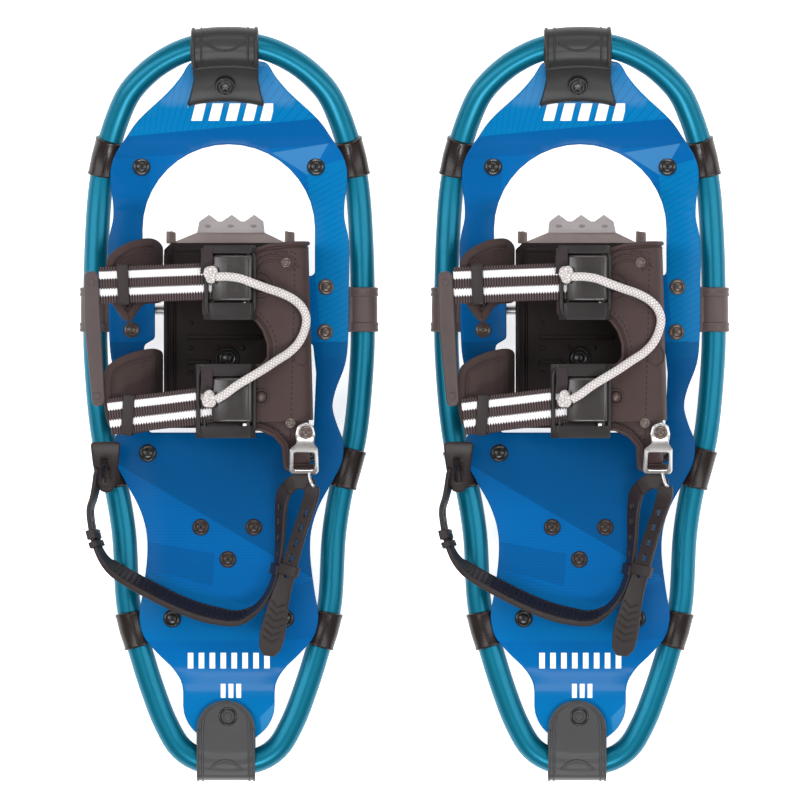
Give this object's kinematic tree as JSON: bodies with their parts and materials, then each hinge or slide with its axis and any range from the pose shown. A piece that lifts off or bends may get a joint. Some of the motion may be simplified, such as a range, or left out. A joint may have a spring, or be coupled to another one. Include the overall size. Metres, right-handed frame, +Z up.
{
  "type": "snowshoes",
  "caption": "Recreational snowshoes: bent tube frames with sheet decks, a pivoting strap binding with cam buckles, toe and heel crampons and a heel strap.",
  "frame": {"origin": "middle of the pair on the ground under it, at the crampon teeth's tips", "axes": "+Y to the toes, +Z up, +X to the right-hand shoe"},
  "size_m": [0.4156, 0.4819, 0.1022],
  "materials": {
    "anodised_tube": "teal anodised aluminium tube",
    "deck_sheet": "printed blue sheet, satin gloss",
    "black_plastic": "moulded black plastic",
    "grey_plastic": "moulded dark grey plastic",
    "wrap_plastic": "dark brown-black strap plastic",
    "clip_plastic": "satin grey plastic",
    "crampon_steel": "plated pressed steel",
    "axle_steel": "steel rod",
    "binding_plastic": "flexible warm dark grey plastic",
    "flap_foam": "moulded soft flap with an inset panel",
    "buckle_plastic": "moulded dark plastic",
    "webbing": "black-brown ribbed webbing with two white stripes",
    "handle_plastic": "moulded dark grey plastic",
    "strap_rubber": "moulded dark rubber",
    "shackle_steel": "bright cast steel",
    "cord_white": "white braided cord"
  },
  "bodies": {
    "left_frame": {"left_frame_tube": "anodised_tube", "left_deck": "deck_sheet", "left_toe_cap": "black_plastic", "left_tail_cap": "grey_plastic", "left_front_wrap_l": "wrap_plastic", "left_front_wrap_r": "wrap_plastic", "left_pivot_wrap_l": "clip_plastic", "left_pivot_wrap_r": "clip_plastic", "left_rear_wrap_l": "wrap_plastic", "left_rear_wrap_r": "wrap_plastic", "left_tail_wrap_l": "wrap_plastic", "left_tail_wrap_r": "wrap_plastic", "left_pivot_axle": "axle_steel", "left_heel_crampon": "crampon_steel"},
    "left_binding": {"left_base_plate": "binding_plastic", "left_toe_crampon": "crampon_steel", "left_buckle_wing": "binding_plastic", "left_front_flap": "flap_foam", "left_rear_flap": "flap_foam", "left_front_buckle": "buckle_plastic", "left_rear_buckle": "buckle_plastic", "left_pull_cord": "cord_white"},
    "left_levers": {"left_front_lever": "buckle_plastic", "left_rear_lever": "buckle_plastic"},
    "left_strap_pull": {"left_front_webbing": "webbing", "left_rear_webbing": "webbing", "left_pull_handle": "handle_plastic"},
    "left_heel": {"left_heel_strap": "strap_rubber", "left_heel_shackle": "shackle_steel", "left_heel_loop": "strap_rubber"},
    "right_frame": {"right_frame_tube": "anodised_tube", "right_deck": "deck_sheet", "right_toe_cap": "black_plastic", "right_tail_cap": "grey_plastic", "right_front_wrap_l": "wrap_plastic", "right_front_wrap_r": "wrap_plastic", "right_pivot_wrap_l": "clip_plastic", "right_pivot_wrap_r": "clip_plastic", "right_rear_wrap_l": "wrap_plastic", "right_rear_wrap_r": "wrap_plastic", "right_tail_wrap_l": "wrap_plastic", "right_tail_wrap_r": "wrap_plastic", "right_pivot_axle": "axle_steel", "right_heel_crampon": "crampon_steel"},
    "right_binding": {"right_base_plate": "binding_plastic", "right_toe_crampon": "crampon_steel", "right_buckle_wing": "binding_plastic", "right_front_flap": "flap_foam", "right_rear_flap": "flap_foam", "right_front_buckle": "buckle_plastic", "right_rear_buckle": "buckle_plastic", "right_pull_cord": "cord_white"},
    "right_levers": {"right_front_lever": "buckle_plastic", "right_rear_lever": "buckle_plastic"},
    "right_strap_pull": {"right_front_webbing": "webbing", "right_rear_webbing": "webbing", "right_pull_handle": "handle_plastic"},
    "right_heel": {"right_heel_strap": "strap_rubber", "right_heel_shackle": "shackle_steel", "right_heel_loop": "strap_rubber"}
  },
  "joints": [
    {"name": "right_shoe_lift", "type": "slide", "parent": "left_frame", "child": "right_frame", "axis": [0, 0, 1], "range_m": [0, 0.25]},
    {"name": "left_binding_pivot", "type": "hinge", "parent": "left_frame", "child": "left_binding", "pos_m": [-0.1127, 0.0604, 0.0263], "axis": [-1, 0, 0], "range_deg": [0, 32]},
    {"name": "left_lever_release", "type": "hinge", "parent": "left_binding", "child": "left_levers", "pos_m": [-0.0993, 0.04, 0.0926], "axis": [0, 1, 0], "range_deg": [0, 50], "deforming": ["left_pull_cord"]},
    {"name": "left_strap_tighten", "type": "slide", "parent": "left_binding", "child": "left_strap_pull", "axis": [-1, 0, 0], "range_m": [0, 0.02]},
    {"name": "left_heel_swing", "type": "hinge", "parent": "left_binding", "child": "left_heel", "pos_m": [-0.0627, -0.012, 0.087], "axis": [-0.9746, -0.0685, -0.2132], "range_deg": [0, 75]},
    {"name": "right_binding_pivot", "type": "hinge", "parent": "right_frame", "child": "right_binding", "pos_m": [0.1127, 0.0604, 0.0263], "axis": [-1, 0, 0], "range_deg": [0, 32]},
    {"name": "right_lever_release", "type": "hinge", "parent": "right_binding", "child": "right_levers", "pos_m": [0.1261, 0.04, 0.0926], "axis": [0, 1, 0], "range_deg": [0, 50], "deforming": ["right_pull_cord"]},
    {"name": "right_strap_tighten", "type": "slide", "parent": "right_binding", "child": "right_strap_pull", "axis": [-1, 0, 0], "range_m": [0, 0.02]},
    {"name": "right_heel_swing", "type": "hinge", "parent": "right_binding", "child": "right_heel", "pos_m": [0.1627, -0.012, 0.087], "axis": [-0.9746, -0.0685, -0.2132], "range_deg": [0, 75]}
  ]
}
